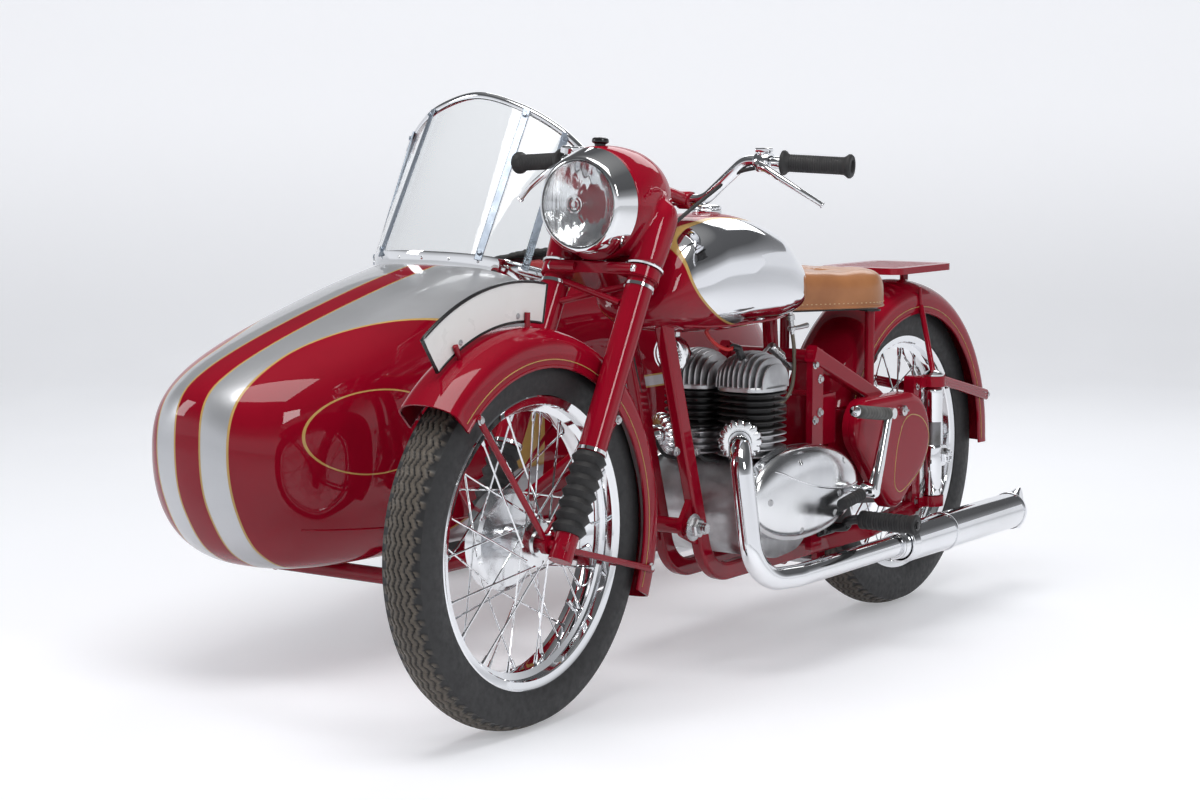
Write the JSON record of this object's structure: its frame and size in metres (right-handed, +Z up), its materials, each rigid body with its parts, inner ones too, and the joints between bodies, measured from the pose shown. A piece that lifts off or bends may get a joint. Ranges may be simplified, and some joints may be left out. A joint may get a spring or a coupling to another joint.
{
  "type": "sidecar motorcycle",
  "caption": "Crimson parallel-twin motorcycle with plunger rear springing, laced wheels and a bullet-shaped single-seat sidecar with a framed windscreen.",
  "frame": {"origin": "ground point under the middle of the whole outfit's box", "axes": "+Z up, the outfit faces -Y, +X is its left side, with the sidecar on -X"},
  "size_m": [1.447, 2.0823, 1.1015],
  "materials": {
    "red_paint": "deep crimson gloss paint",
    "chrome": "bright chrome plate",
    "aluminium": "polished cast aluminium",
    "black_iron": "black stoved cast iron",
    "steel": "plain oiled steel",
    "black_rubber": "matte black rubber",
    "tyre": "black tyre rubber, grey on the tread",
    "tan_leather": "tan leather",
    "red_leather": "red pleated leather",
    "glass": "clear",
    "red_lens": "red lamp shell",
    "white_enamel": "white enamel, black edge",
    "red_fork_end": "crimson gloss paint"
  },
  "bodies": {
    "chassis": {"frame": "red_paint", "rear_plungers": "chrome", "crankcase": "aluminium", "engine_covers": "aluminium", "cylinders": "black_iron", "cylinder_heads": "aluminium", "carburettor": "aluminium", "exhaust_pipes": "chrome", "exhaust_nuts": "aluminium", "silencers": "chrome", "fuel_tank": "red_paint", "filler_cap": "chrome", "saddle": "tan_leather", "rear_fender": "red_paint", "rack": "red_paint", "tail_lamp": "red_lens", "tool_boxes": "red_paint", "battery_box": "red_paint", "drive_chain": "steel", "horn": "chrome", "foot_controls": "chrome", "footrests": "black_rubber", "sidecar_body": "red_paint", "windscreen": "glass", "windscreen_frame": "chrome", "sidecar_seat": "red_leather", "sidecar_frame": "red_paint", "sidecar_fender": "red_paint"},
    "steering": {"fork_sliders": "red_fork_end", "gaiters": "black_rubber", "fork_shrouds": "red_paint", "nacelle": "red_paint", "headlamp_rim": "chrome", "headlamp_lens": "glass", "handlebar": "chrome", "grips": "black_rubber", "hand_levers": "chrome", "front_fender": "red_paint", "number_plate": "white_enamel"},
    "front_wheel": {"front_tyre": "tyre", "front_rim": "chrome", "front_hub": "aluminium"},
    "rear_wheel": {"rear_tyre": "tyre", "rear_rim": "chrome", "rear_hub": "aluminium"},
    "sidecar_wheel": {"sidecar_tyre": "tyre", "sidecar_rim": "chrome", "sidecar_hub": "aluminium"},
    "stand": {"centre_stand": "steel"}
  },
  "joints": [
    {"name": "steering", "type": "hinge", "parent": "chassis", "child": "steering", "pos_m": [0.3515, -0.66327, 0.29683], "axis": [0, 0.4695, 0.8829], "range_deg": [-35, 35]},
    {"name": "front_wheel_spin", "type": "hinge", "parent": "steering", "child": "front_wheel", "pos_m": [0.3515, -0.71625, 0.325], "axis": [1, 0, 0], "continuous": true},
    {"name": "rear_wheel_spin", "type": "hinge", "parent": "chassis", "child": "rear_wheel", "pos_m": [0.3515, 0.61875, 0.332], "axis": [1, 0, 0], "continuous": true},
    {"name": "sidecar_wheel_spin", "type": "hinge", "parent": "chassis", "child": "sidecar_wheel", "pos_m": [-0.6485, 0.39125, 0.325], "axis": [1, 0, 0], "continuous": true},
    {"name": "centre_stand", "type": "hinge", "parent": "chassis", "child": "stand", "pos_m": [0.3515, 0.25125, 0.15], "axis": [1, 0, 0], "range_deg": [-60, 0]}
  ]
}
